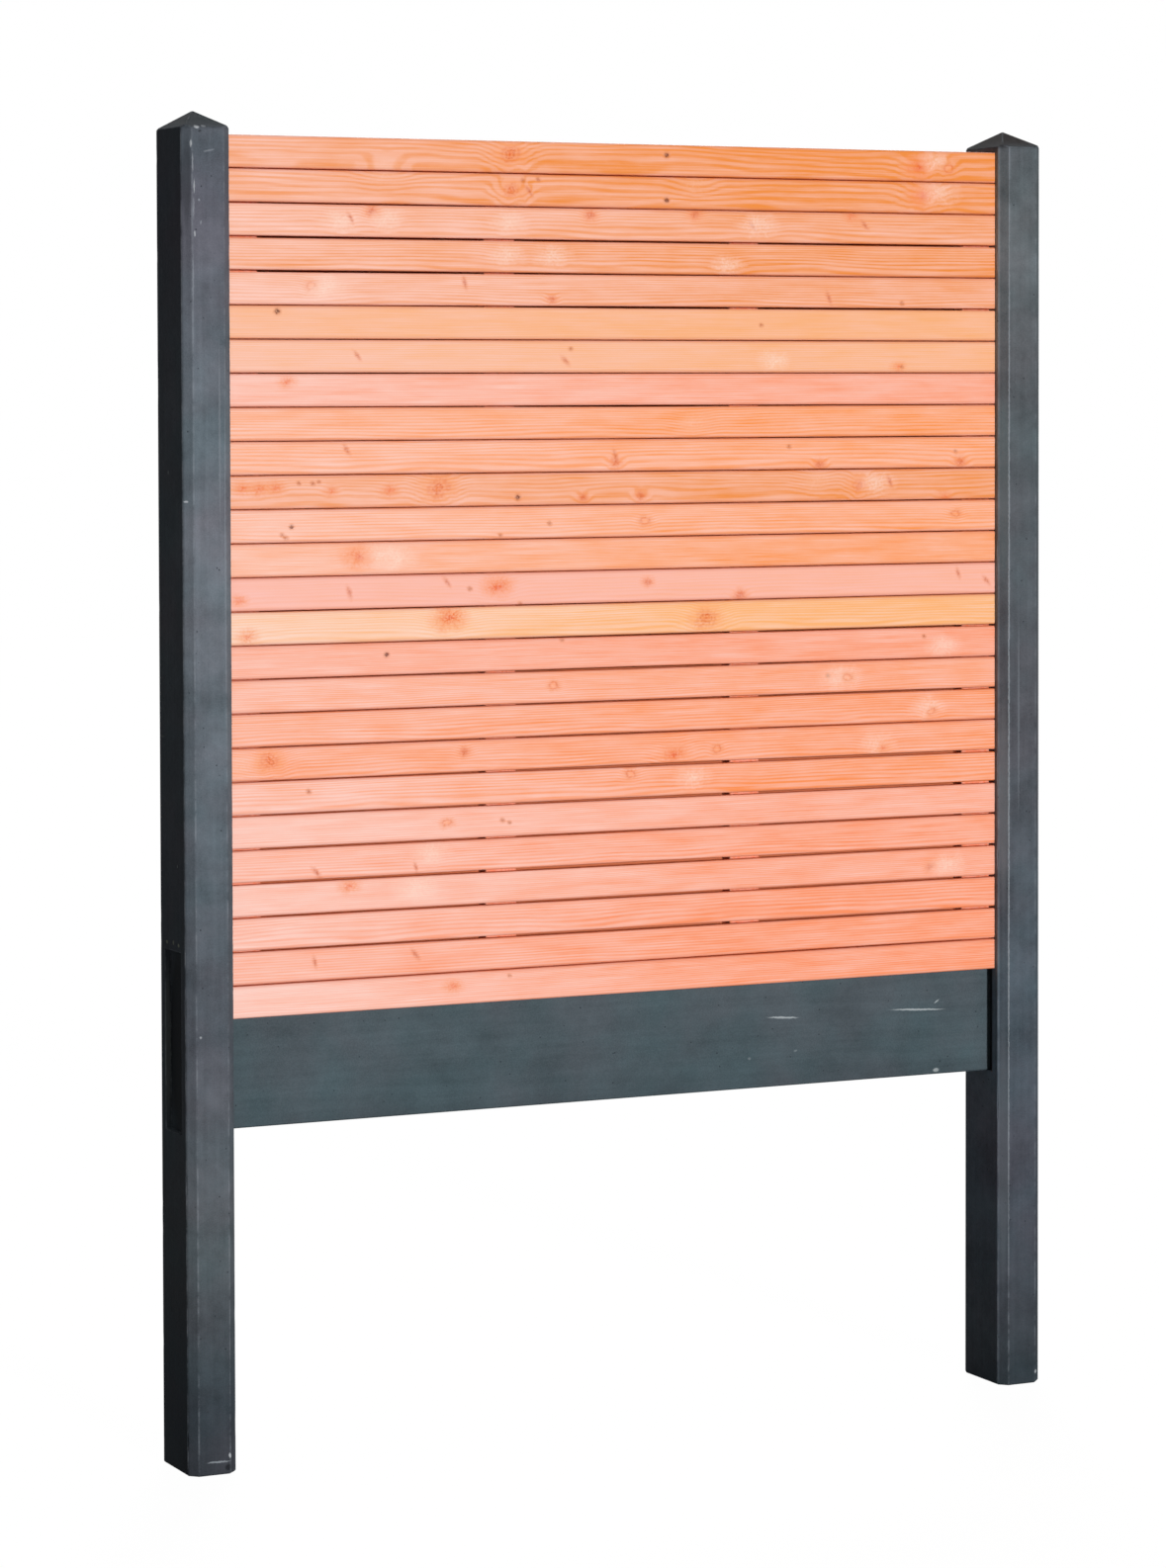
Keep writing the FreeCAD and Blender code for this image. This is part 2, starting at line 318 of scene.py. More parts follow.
def finishWood(tree, colour, ridges, fibres, finish):
    relief = addNode(tree, "Math", {0: ridges, 1: finish["ridges"], 2: fibres}, operation="MULTIPLY_ADD")
    bump = addNode(tree, "Bump", {
        "Height": relief.outputs[0], "Strength": finish["relief"], "Distance": finish["depth"] * mm})
    rough = addNode(tree, "MapRange", {
        "Value": fibres, "To Min": finish["smooth"], "To Max": finish["smooth"] + 0.2})
    surface = addNode(tree, "BsdfPrincipled", {
        "Base Color": colour, "Roughness": rough.outputs[0], "Specular IOR Level": finish["shine"],
        "Normal": bump.outputs[0]})
    addNode(tree, "OutputMaterial", {"Surface": surface.outputs[0]})


def slatWood(number):
    # planed Douglas fir: soft salmon bands of late wood that swing round the knots, with a dull sheen
    rng = random.Random(number)
    tone, leftShade, rightShade, figure = slatLooks[number - 1]
    material, tree = newMaterial("planedFir%02d" % number)
    place = placeInMm(tree, slats["corners"][number - 1])
    # a knot's outline wanders, and the knot runs through the board, so its depth hardly counts
    wobble = addNode(tree, "TexNoise", {"Vector": place, "Scale": 0.035, "Detail": 3})
    wobble = addNode(tree, "VectorMath", {0: wobble.outputs["Color"], 1: (0.5, 0.5, 0.5)},
                     operation="SUBTRACT")
    ringShift = 0.0
    knotLooks = []
    for x, share, kind in slatKnots.get(number, []):
        knot = knots[kind]
        size = rng.uniform(0.85, 1.15)
        ragged = addNode(tree, "VectorMath", {
            0: wobble.outputs[0], 1: (knot["ragged"], 0, knot["ragged"]), 2: place}, operation="MULTIPLY_ADD")
        centred = addNode(tree, "Mapping", {
            "Vector": ragged.outputs[0], "Location": (x, 0, share * slats["height"]),
            "Rotation": (0, math.radians(knot.get("turn", 0) * rng.uniform(0.7, 1.2)), 0),
            "Scale": (knot["size"][0] * size, 1000, knot["size"][1] * size)}, vector_type="TEXTURE")
        distance = addNode(tree, "VectorMath", {0: centred.outputs[0]}, operation="LENGTH").outputs["Value"]
        push = addNode(tree, "MapRange", {
            "Value": distance, "From Max": 3.2, "To Min": knot["push"], "To Max": 0},
            interpolation_type="SMOOTHERSTEP")
        ringShift = addNode(tree, "Math", {0: push.outputs[0], 1: ringShift}, operation="ADD").outputs[0]
        # the fibres fan out round a knot, so its colour comes and goes with the direction
        direction = addNode(tree, "VectorMath", {0: centred.outputs[0]}, operation="NORMALIZE")
        fans = addNode(tree, "TexNoise", {
            "Vector": direction.outputs[0], "Scale": 3.5, "Detail": 3, "Roughness": 0.6})
        fans = addNode(tree, "MapRange", {
            "Value": fans.outputs["Fac"], "From Min": 0.35, "From Max": 0.62, "To Min": 0.55, "To Max": 1.2})
        knotLooks.append((knot["stops"], distance, fans.outputs[0]))
    lateWood, fibres, clouds = firGrain(tree, place, rng, figures[figure], ringShift)
    split = addNode(tree, "SeparateXYZ", {0: place})
    # paler towards the left end: partly painted light, partly the board's own tone
    shade = addNode(tree, "MapRange", {
        "Value": split.outputs["X"], "From Max": slats["shadeEnd"] * slats["length"],
        "To Min": leftShade, "To Max": rightShade})
    colour = firColour(tree, slats, figures[figure], shade.outputs[0], lateWood, fibres, clouds, tone)
    # torn fibres break up a knot's colour, in spots about 5 mm across
    torn = addNode(tree, "TexNoise", {"Vector": place, "Scale": 1 / 5, "Detail": 3})
    torn = addNode(tree, "MapRange", {
        "Value": torn.outputs["Fac"], "From Min": 0.35, "From Max": 0.65, "To Min": 0.6, "To Max": 1.3})
    for stops, distance, fans in knotLooks:
        third = addNode(tree, "Math", {0: distance, 1: 1 / 3}, operation="MULTIPLY")
        ramp = addNode(tree, "ValToRGB", {"Fac": third.outputs[0]}, stops)
        cover = addNode(tree, "Math", {0: ramp.outputs["Alpha"], 1: torn.outputs[0]}, operation="MULTIPLY")
        cover = addNode(tree, "Math", {0: cover.outputs[0], 1: fans}, operation="MULTIPLY")
        colour = addNode(tree, "Mix", {"Factor": cover.outputs[0], "A": colour, "B": ramp.outputs["Color"]},
                         data_type="RGBA").outputs["Result"]
    # painted shade of the gaps, spread onto the face beside each edge so that the gap lines look soft
    half = slats["height"] / 2
    toEdge = addNode(tree, "Math", {0: split.outputs["Z"], 1: half}, operation="SUBTRACT")
    toEdge = addNode(tree, "Math", {0: toEdge.outputs[0]}, operation="ABSOLUTE")
    shadeRim = addNode(tree, "MapRange", {
        "Value": toEdge.outputs[0], "From Min": half - slats["shadeRimWidth"], "From Max": half,
        "To Max": slats["shadeRimStrength"]})
    colour = addNode(tree, "Mix", {"Factor": shadeRim.outputs[0], "A": colour, "B": linear(slats["shadeRim"])},
                     data_type="RGBA").outputs["Result"]
    # painted shade on the arrises and on the faces inside the gaps
    behind = addNode(tree, "MapRange", {"Value": split.outputs["Y"], "From Max": slats["thickness"]})
    edge = addNode(tree, "ValToRGB", {"Fac": behind.outputs[0]}, slats["gapShadeStops"])
    # the top slat has no gap above it, so the painted shade fades out below its upper face
    top = slats["height"] if number == 1 else 2 * slats["height"]
    inGap = addNode(tree, "MapRange", {
        "Value": split.outputs["Z"], "From Min": top - slats["fadeFrom"], "From Max": top - slats["fadeTo"],
        "To Min": 1, "To Max": slats["fadeRest"]})
    cover = addNode(tree, "Math", {0: edge.outputs["Alpha"], 1: inGap.outputs[0]}, operation="MULTIPLY")
    colour = addNode(tree, "Mix", {"Factor": cover.outputs[0], "A": colour, "B": edge.outputs["Color"]},
                     data_type="RGBA").outputs["Result"]
    finishWood(tree, colour, lateWood, fibres, finishes["planed"])
    return material


def gapWidth(gap, x):
    # eases between the three widths along the gap that slat number "gap" has below it
    left, middle, right = slats["gaps"][gap - 1]
    steady = slats["gapSteady"]
    share = min(max(x / slats["length"], steady), 1 - steady)
    if share < 0.5:
        return left + (middle - left) * (share - steady) / (0.5 - steady)
    return middle + (right - middle) * (share - 0.5) / (0.5 - steady)


def makeSlat(number):
    gap = slats["pitch"] - slats["height"]
    bm = bmesh.new()
    bmesh.ops.create_cube(bm, size=1)
    bmesh.ops.translate(bm, vec=(0.5, 0.5, 0.5), verts=bm.verts)
    bmesh.ops.scale(bm, vec=(slats["length"], slats["thickness"], slats["height"]), verts=bm.verts)
    longEdges = [e for e in bm.edges if e.calc_length() > slats["length"] / 2]
    bmesh.ops.bevel(bm, geom=longEdges, offset=slats["arris"], offset_type="OFFSET", segments=3, profile=0.5,
                    affect="EDGES", material=-1)
    longEdges = [e for e in bm.edges if e.calc_length() > slats["length"] / 2]
    bmesh.ops.subdivide_edges(bm, edges=longEdges, cuts=slats["cuts"], use_grid_fill=True)
    for v in bm.verts:
        x, z = v.co.x, v.co.z
        if x > slats["length"] - 1:
            v.co.x = x + slats["rightReach"]
        if z > slats["height"] / 2 and number > 1:
            v.co.z = z + (gap - gapWidth(number - 1, x)) / 2
        if z < slats["height"] / 2 and number < slats["count"]:
            v.co.z = z - (gap - gapWidth(number, x)) / 2
    bmesh.ops.scale(bm, vec=(mm, mm, mm), verts=bm.verts)
    bmesh.ops.translate(bm, vec=slats["corners"][number - 1], verts=bm.verts)
    bmesh.ops.recalc_face_normals(bm, faces=bm.faces)
    addPiece("slat_%02d_fir" % number, bm, slatWood(number), "slat_wood", "slat_%02d" % number)


for number in range(1, slats["count"] + 1):
    makeSlat(number)
print("slats done")


# Battens and rear boards
rear = {
    "battens": 4,
    "fibres": 0.9,
    "clouds": 0.9,
    "shade": 0.42,
    "shadeSpread": 0.22,    # either way, from board to board
    "battenShade": 0.75,
    "boardShift": 613.0,    # mm along the grain from one board to the next
    "knotSpacing": 330.0,
    "knotStops": [(0.00, "#8e4c30", 0.9), (0.04, "#a05c3c", 0.8), (0.07, "#7c4028", 0.75),
                  (0.10, "#d08a64", 0.3), (0.20, "#f0a080", 0.0)],
    "insideShade": "#cc6a40",    # painted shade on the faces that look into the screen
    "insideShadeDepth": (0.4, 2.5),  # mm behind the face between which they end
    "boardInsideShade": 0.95,    # share of them on a board, and on a batten
    "battenInsideShade": 0.35,
    "sawMark": 4.0,         # mm between the marks of the saw, drawn coarser than the real 1.5
}


def shadeInside(tree, depth, colour, share):
    # painted shade: deepens the colour on a board's face that looks into the screen
    insideShade = addNode(tree, "MapRange", {
        "Value": depth, "From Min": rear["insideShadeDepth"][0], "From Max": rear["insideShadeDepth"][1],
        "To Min": share, "To Max": 0})
    stained = addNode(tree, "Mix", {"Factor": insideShade.outputs[0], "A": colour, "B": linear(rear["insideShade"])},
                      data_type="RGBA")
    return stained.outputs["Result"]


# planed Douglas fir again, one pattern for all the rear boards: each board reads its own stretch of it
rearWood, tree = newMaterial("planedFirRear")
split = addNode(tree, "SeparateXYZ", {0: placeInMm(tree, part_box("rear_boards")[0])})
row = addNode(tree, "Math", {0: split.outputs["Z"], 1: slats["pitch"]}, operation="DIVIDE")
row = addNode(tree, "Math", {0: row.outputs[0]}, operation="FLOOR")
height = addNode(tree, "Math", {0: split.outputs["Z"], 1: slats["pitch"]}, operation="FLOORED_MODULO")
shifted = addNode(tree, "Math", {0: row.outputs[0], 1: rear["boardShift"], 2: split.outputs["X"]},
                  operation="MULTIPLY_ADD")
place = addNode(tree, "CombineXYZ", {
    "X": shifted.outputs[0], "Y": split.outputs["Y"], "Z": height.outputs[0]})
cells = addNode(tree, "Mapping", {
    "Vector": place.outputs[0], "Scale": (rear["knotSpacing"], 90, 110)}, vector_type="TEXTURE")
ragged = addNode(tree, "TexNoise", {"Vector": place.outputs[0], "Scale": 0.06, "Detail": 3})
ragged = addNode(tree, "VectorMath", {0: ragged.outputs["Color"], 1: (0.06, 0.06, 0.06), 2: cells.outputs[0]},
                 operation="MULTIPLY_ADD")
knot = addNode(tree, "TexVoronoi", {"Vector": ragged.outputs[0], "Scale": 1})
push = addNode(tree, "MapRange", {
    "Value": knot.outputs["Distance"], "From Max": 0.45, "To Min": 3.5, "To Max": 0},
    interpolation_type="SMOOTHERSTEP")
figure = figures["flat"]
lateWood, fibres, clouds = firGrain(tree, place.outputs[0], random.Random(91), figure, push.outputs[0])
chance = addNode(tree, "TexWhiteNoise", {"W": row.outputs[0]}, noise_dimensions="1D")
shade = addNode(tree, "MapRange", {
    "Value": chance.outputs["Value"], "To Min": rear["shade"] - rear["shadeSpread"],
    "To Max": rear["shade"] + rear["shadeSpread"]})
colour = firColour(tree, rear, figure, shade.outputs[0], lateWood, fibres, clouds, "salmon")
ramp = addNode(tree, "ValToRGB", {"Fac": knot.outputs["Distance"]}, rear["knotStops"])
colour = addNode(tree, "Mix", {"Factor": ramp.outputs["Alpha"], "A": colour, "B": ramp.outputs["Color"]},
                 data_type="RGBA").outputs["Result"]
colour = shadeInside(tree, split.outputs["Y"], colour, rear["boardInsideShade"])
finishWood(tree, colour, lateWood, fibres, finishes["planedRear"])
dress("rear_boards", rearWood)

# rough-sawn Douglas fir: duller and deeper than the planed boards, with marks of the saw across it
for number in range(1, rear["battens"] + 1):
    batten = "batten_%d" % number
    battenWood, tree = newMaterial("sawnFir%d" % number)
    place = placeInMm(tree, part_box(batten)[0], (0, math.radians(-90), 0))
    figure = figures["mixed"]
    lateWood, fibres, clouds = firGrain(tree, place, random.Random(number + 60), figure, 0.0)
    colour = firColour(tree, rear, figure, rear["battenShade"], lateWood, fibres, clouds, "salmon")
    split = addNode(tree, "SeparateXYZ", {0: place})
    colour = shadeInside(tree, split.outputs["Y"], colour, rear["battenInsideShade"])
    saw = addNode(tree, "Math", {0: split.outputs["X"], 1: 2 * math.pi / rear["sawMark"]},
                  operation="MULTIPLY")
    saw = addNode(tree, "Math", {0: saw.outputs[0]}, operation="SINE")
    finishWood(tree, colour, saw.outputs[0], fibres, finishes["sawn"])
    dress(batten, battenWood)
print("battens and rear boards done")


# Posts and base plate: smooth cast concrete
concrete = {
    "arris": 2.6,          # mm, rubbed round
    "sharp": 0.3,          # radians between two faces that meet in an arris
    "footHeight": 5,       # mm over which the foot keeps its sharp bevel
    "slice": 18,           # mm between the cuts that let an arris chip
    "chip": 5.0,           # mm that the noise over the limit takes off
    "chipGrain": 28,       # mm from one chip to the next
    "chipDetail": 9,       # mm across the ragged bits of a chip
    "chipLimit": 0.38,
    "cloudSize": 120,      # mm across the clouds of cement
    "tingeSize": 160,      # mm from a cool patch to a warm one
    "bubbleSpacing": 26,   # mm
    "rubSize": 60,         # mm along an arris from a rubbed stretch to the next
    "worn": "#8d939b",
    "pit": "#2c3035",
    "coolTinge": (0.92, 1.03, 1.02, 1),
    "warmTinge": (1.05, 0.99, 0.99, 1),
    "looks": {
        "left_post": {
            "mottle": 1.55,    # how far the clouds of cement go either way
            # share of the height -> colour, darker towards the foot; the last stop darkens the head's sloping
            # top as painted shade
            "stops": [(0.00, "#383c42", 1), (0.05, "#3e434a", 1), (0.17, "#565b60", 1), (0.32, "#555b63", 1),
                      (0.47, "#60666e", 1), (0.63, "#6a6e76", 1), (0.79, "#666c74", 1), (0.94, "#5e616b", 1),
                      (0.985, "#5a5e66", 1), (0.989, "#34373b", 1)],
            "streak": (9, 9, 420),  # mm that a streak is wide, deep and high
            "leftFace": 0.6,   # brightness of the face on the left beside the front
            # place in mm from the middle of the left post's foot, half sizes, turn, colour, strength
            "marks": [
                ((-47, -82, 1982), (5, 25, 2.2), -10, "#c8ccd2", 0.9),
                ((22, -88, 2120), (2.5, 25, 210), 0, "#878d95", 0.4),
                ((33, -88, 1850), (2, 25, 300), 0, "#8d939b", 0.35),
                ((-26, -88, 896), (3, 25, 3), 0, "#aab0b6", 0.7),
                ((8, -88, 27), (29, 25, 2.4), 1, "#949aa1", 0.7),
                ((33, -88, 38), (3, 25, 6), 0, "#c4c8cc", 0.8),
                ((29, -88, 14), (8, 25, 8), 0, "#1e2024", 0.8),
                ((-24, -88, 2737), (7, 25, 4), 0, "#c0c4c8", 0.75),
                ((-8, -88, 2739), (6, 25, 2.5), 0, "#a4a8ae", 0.6),
                ((-17, -88, 2729), (4, 25, 3), 0, "#23262a", 0.6),
                ((-44, -79, 2630), (13, 13, 110), 0, "#3a3d42", 0.55),
                ((-36, -87, 2704), (2.2, 9, 9), 0, "#c0c4c8", 0.7),
                ((-33, -87, 2665), (1.7, 9, 22), 0, "#a4a8ae", 0.5),
                ((-30, -88, 2618), (1.9, 9, 16), 0, "#b4b8bc", 0.6),
                ((-31, -88, 2574), (1.5, 9, 26), 0, "#a0a5ac", 0.5),
                ((-29, -88, 2522), (2.4, 9, 7), 0, "#b4b8bc", 0.65),
                ((-33, -87, 2430), (1.5, 9, 60), 0, "#989ea6", 0.4),
                ((2, -88, 2690), (14, 9, 2.5), -12, "#989ea6", 0.4),
                ((-20, -88, 2590), (3, 9, 3), 0, "#9aa0a8", 0.6),
                ((-16, -88, 2545), (2.2, 9, 5), 0, "#9aa0a8", 0.5),
                # on the outer side: painted shade on the pocket's floor, painted light on its rear wall, and
                # the chips over it
                ((-40.5, 0, 880), (7, 70, 270), 0, "#101112", 0.9),
                ((-47, 45, 870), (9, 4, 190), 0, "#7d8484", 0.8),
                ((-52.5, -34, 1079), (6, 6, 4), 0, "#a3a898", 0.8),
                ((-52.5, -4, 1082), (6, 5, 5), 0, "#979c8e", 0.8),
                ((-52.5, 33, 1080), (6, 7, 4), 0, "#979c8e", 0.7),
                ((-52.5, 60, 1500), (6, 22, 3), 0, "#6d7274", 0.5),
                ((-52.5, 10, 2040), (6, 4, 5), 0, "#8e9494", 0.6),
                ((-52.5, -30, 1240), (6, 3, 4), 0, "#8e9494", 0.6),
            ],
        },
        "right_post": {
            "mottle": 1.6,
            # share of the height -> colour as on the left post; the last stop is painted shade on the head's
            # sloping top
            "stops": [(0.00, "#363b41", 1), (0.04, "#3c4349", 1), (0.16, "#484c55", 1), (0.32, "#505962", 1),
                      (0.47, "#53565d", 1), (0.71, "#555b60", 1), (0.93, "#656a6e", 1), (0.985, "#60656a", 1),
                      (0.989, "#1c1717", 1)],
            "streak": (9, 9, 420),
            # painted bounce light on the face towards the screen
            "leftFace": 2.0,
            "marks": [
                ((1948, -88, 25), (5, 25, 5), 0, "#b8bcc0", 0.8),
                ((1901, -88, 1480), (3, 25, 240), 0, "#7c8289", 0.4),
                ((1867, -79, 520), (16, 16, 330), 0, "#7c838a", 0.3),
                ((1867, -79, 1304), (16, 16, 260), 0, "#888c90", 0.3),
                ((1867, -79, 2010), (16, 16, 260), 0, "#74868a", 0.25),
                ((1876.5, -87.5, 1500), (1.8, 4, 1450), 0, "#98a0a6", 0.7),
            ],
        },
        "base_plate": {
            "mottle": 0.8,
            "stops": [(0.00, "#485157", 1), (0.25, "#4c575d", 1), (1.00, "#4e595f", 1)],
            "streak": (260, 60, 16),
            "leftFace": 1.0,
            "marks": [
                ((1345, -25, 844), (42, 25, 2.6), 4, "#a4acaf", 0.9),
                ((1680, -25, 841), (74, 25, 2.4), 3, "#a4acaf", 0.9),
                ((1729, -25, 856), (8, 25, 2), -35, "#a4acaf", 0.85),
                ((1727, -25, 704), (9, 25, 5), 0, "#a3aaac", 0.8),
                ((1375, -25, 770), (5, 25, 3), 0, "#7c868a", 0.6),
                ((1262, -25, 760), (4, 25, 3), 0, "#7c868a", 0.5),
            ],
        },
    },
}


def castConcrete(node):
    # anthracite concrete, smooth from the mould: soft clouds, pinhole pits and pale worn arrises
    look = concrete["looks"][node]
    low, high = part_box(node)
    material, tree = newMaterial("castConcrete_" + node)
    place = placeInMm(tree)
    split = addNode(tree, "SeparateXYZ", {0: place})
    share = addNode(tree, "MapRange", {
        "Value": split.outputs["Z"], "From Min": low[2] / mm, "From Max": high[2] / mm})
    base = addNode(tree, "ValToRGB", {"Fac": share.outputs[0]}, look["stops"])
    clouds = addNode(tree, "TexNoise", {
        "Vector": place, "Scale": 1 / concrete["cloudSize"], "Detail": 7, "Roughness": 0.66})
    # streaks lie the way the mould was filled
    streaking = addNode(tree, "Mapping", {"Vector": place, "Scale": look["streak"]}, vector_type="TEXTURE")
    streaks = addNode(tree, "TexNoise", {
        "Vector": streaking.outputs[0], "Scale": 1, "Detail": 4, "Roughness": 0.6})
    # sand grains are about 1 mm, drawn 3 mm wide so that they show
    grains = addNode(tree, "TexNoise", {"Vector": place, "Scale": 1 / 3, "Detail": 2})
    # noise is 0.5 on average, and 0.575 brings the sum of the three to 1
    value = addNode(tree, "Math", {
        0: clouds.outputs["Fac"], 1: look["mottle"], 2: 0.575 - look["mottle"] / 2}, operation="MULTIPLY_ADD")
    for pattern, strength in ((streaks, 0.4), (grains, 0.45)):
        value = addNode(tree, "Math", {0: pattern.outputs["Fac"], 1: strength, 2: value.outputs[0]},
                        operation="MULTIPLY_ADD")
    # the face on the left is darkened on the left post, and brightened on the right post as painted bounce
    # light
    leftFace = addNode(tree, "MapRange", {
        "Value": split.outputs["X"], "From Min": low[0] / mm + 0.5, "From Max": low[0] / mm + 4,
        "To Min": look["leftFace"], "To Max": 1})
    value = addNode(tree, "Math", {0: value.outputs[0], 1: leftFace.outputs[0]}, operation="MULTIPLY")
    shaded = addNode(tree, "VectorMath", {0: base.outputs["Color"], "Scale": value.outputs[0]},
                     operation="SCALE")
    tinge = addNode(tree, "TexNoise", {"Vector": place, "Scale": 1 / concrete["tingeSize"], "Detail": 3})
    tinge = addNode(tree, "MapRange", {"Value": tinge.outputs["Fac"], "From Min": 0.35, "From Max": 0.65})
    tinge = addNode(tree, "Mix", {
        "Factor": tinge.outputs[0], "A": concrete["coolTinge"], "B": concrete["warmTinge"]}, data_type="RGBA")
    shaded = addNode(tree, "VectorMath", {0: shaded.outputs[0], 1: tinge.outputs["Result"]},
                     operation="MULTIPLY")
    # air bubbles against the mould leave pits, a few to a hand's breadth
    bubbles = addNode(tree, "TexVoronoi", {"Vector": place, "Scale": 1 / concrete["bubbleSpacing"]})
    pits = addNode(tree, "MapRange", {
        "Value": bubbles.outputs["Distance"], "From Min": 0.045, "From Max": 0.085,
        "To Min": 0.75, "To Max": 0})
    colour = addNode(tree, "Mix", {
        "Factor": pits.outputs[0], "A": shaded.outputs[0], "B": linear(concrete["pit"])}, data_type="RGBA")
    colour = colour.outputs["Result"]
    # marks have a ragged outline, within about 4 mm
    wobble = addNode(tree, "TexNoise", {"Vector": place, "Scale": 0.15, "Detail": 3})
    ragged = addNode(tree, "VectorMath", {0: wobble.outputs["Color"], 1: (0.5, 0.5, 0.5)},
                     operation="SUBTRACT")
    ragged = addNode(tree, "VectorMath", {0: ragged.outputs[0], 1: (4, 0, 4), 2: place},
                     operation="MULTIPLY_ADD")
    for markPlace, halfSize, turn, hexColour, strength in look["marks"]:
        centred = addNode(tree, "Mapping", {
            "Vector": ragged.outputs[0], "Location": markPlace, "Rotation": (0, math.radians(turn), 0),
            "Scale": halfSize}, vector_type="TEXTURE")
        distance = addNode(tree, "VectorMath", {0: centred.outputs[0]}, operation="LENGTH")
        cover = addNode(tree, "MapRange", {
            "Value": distance.outputs["Value"], "From Min": 0.5, "From Max": 1.1,
            "To Min": strength, "To Max": 0}, interpolation_type="SMOOTHSTEP")
        colour = addNode(tree, "Mix", {"Factor": cover.outputs[0], "A": colour, "B": linear(hexColour)},
                         data_type="RGBA").outputs["Result"]
    # the mesh says where it is an arris, and the rubs come and go along it
    rubbed = addNode(tree, "Attribute", attribute_name="worn")
    rubs = addNode(tree, "TexNoise", {
        "Vector": place, "Scale": 1 / concrete["rubSize"], "Detail": 5, "Roughness": 0.7})
    patchy = addNode(tree, "MapRange", {
        "Value": rubs.outputs["Fac"], "From Min": 0.44, "From Max": 0.68, "To Max": 0.5})
    worn = addNode(tree, "Math", {0: rubbed.outputs["Fac"], 1: patchy.outputs[0]}, operation="MULTIPLY")
    colour = addNode(tree, "Mix", {"Factor": worn.outputs[0], "A": colour, "B": linear(concrete["worn"])},
                     data_type="RGBA")
    relief = addNode(tree, "Math", {0: pits.outputs[0], 1: -3, 2: grains.outputs["Fac"]},
                     operation="MULTIPLY_ADD")
    bump = addNode(tree, "Bump", {"Height": relief.outputs[0], "Strength": 0.3, "Distance": 0.5 * mm})
    rough = addNode(tree, "MapRange", {"Value": clouds.outputs["Fac"], "To Min": 0.75, "To Max": 0.95})
    surface = addNode(tree, "BsdfPrincipled", {
        "Base Color": colour.outputs["Result"], "Roughness": rough.outputs[0], "Specular IOR Level": 0.04,
        "Normal": bump.outputs[0]})
    addNode(tree, "OutputMaterial", {"Surface": surface.outputs[0]})
    return material


def makeCasting(node, slot, axis):
    # a copy of the solid with rounded arrises that are worn pale and chipped here and there
    bm = bmesh.new()
    bm.from_mesh(nodes[node].data)
    bmesh.ops.remove_doubles(bm, verts=bm.verts, dist=0.01 * mm)
    bmesh.ops.dissolve_limit(bm, angle_limit=0.02, verts=bm.verts, edges=bm.edges)
    worn = bm.verts.layers.float.new("worn")
    low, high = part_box(node)
    sharp = [e for e in bm.edges if len(e.link_faces) == 2 and e.calc_face_angle() > concrete["sharp"]
             and max(v.co.z for v in e.verts) > low[2] + concrete["footHeight"] * mm]
    made = bmesh.ops.bevel(bm, geom=sharp, offset=concrete["arris"] * mm, offset_type="OFFSET", segments=3,
                           profile=0.5, affect="EDGES", material=-1, clamp_overlap=True)
    rounded = set(made["faces"])
    for v in bm.verts:
        if all(f in rounded for f in v.link_faces):
            v[worn] = 1
    step = concrete["slice"] * mm
    normal = Vector([1 if i == axis else 0 for i in range(3)])
    place = low[axis] + step
    while place < high[axis] - step:
        bmesh.ops.bisect_plane(bm, geom=bm.verts[:] + bm.edges[:] + bm.faces[:], dist=0.01 * mm,
                               plane_co=normal * place, plane_no=normal)
        place += step
    bm.normal_update()
    for v in bm.verts:
        if v[worn] > 0.9:
            rough = noise.noise(v.co / (concrete["chipGrain"] * mm))
            rough += 0.4 * noise.noise(v.co / (concrete["chipDetail"] * mm))
            v.co -= v.normal * max(0, rough - concrete["chipLimit"]) * concrete["chip"] * mm
    addPiece(node + "_concrete", bm, castConcrete(node), slot, node)


makeCasting("left_post", "post_concrete", 2)
makeCasting("right_post", "post_concrete", 2)
makeCasting("base_plate", "plate_concrete", 0)
print("posts and base plate done")


# Brackets and screws
steel = {
    # mm, apart from the shares
    "headRadius": 4.2,
    "topShare": 0.75,      # share of the head's radius that is left on top
    "recessInset": 0.4,    # share of the radius round the driving recess, and of the height below it
    "recessDepth": 0.6,
    "flatHeight": 0.5,     # countersunk heads stand this much proud of the boards
    "panHeight": 2.6,
    "screwRise": 16.0,     # above and below a rear board's middle
    "outerShift": 17.5,    # from an outer batten's middle, clear of the brackets
    "holeEdge": 12.0,      # from a bracket's edge to the middle of its holes
    "holePitch": 26.0,
    "thickness": 2.5,      # of the brackets
}

# zinc-plated steel: a pale grey metal with a cloudy, half-dull sheen
zinc, tree = newMaterial("zincPlatedSteel")
coords = addNode(tree, "TexCoord")
# crystals of the plating, drawn 4 mm wide
crystals = addNode(tree, "TexVoronoi", {"Vector": coords.outputs["Object"], "Scale": 1 / (4 * mm)})
dull = addNode(tree, "TexNoise", {"Vector": coords.outputs["Object"], "Scale": 60, "Detail": 4})
tint = addNode(tree, "Mix", {
    "Factor": crystals.outputs["Color"], "A": linear("#b4b9bd"), "B": linear("#cdd1d4")}, data_type="RGBA")
rough = addNode(tree, "MapRange", {
    "Value": dull.outputs["Fac"], "From Min": 0.3, "From Max": 0.7, "To Min": 0.28, "To Max": 0.52})
bump = addNode(tree, "Bump", {"Height": dull.outputs["Fac"], "Strength": 0.1, "Distance": 0.2 * mm})
surface = addNode(tree, "BsdfPrincipled", {
    "Base Color": tint.outputs["Result"], "Metallic": 1, "Roughness": rough.outputs[0],
    "Normal": bump.outputs[0]})
addNode(tree, "OutputMaterial", {"Surface": surface.outputs[0]})


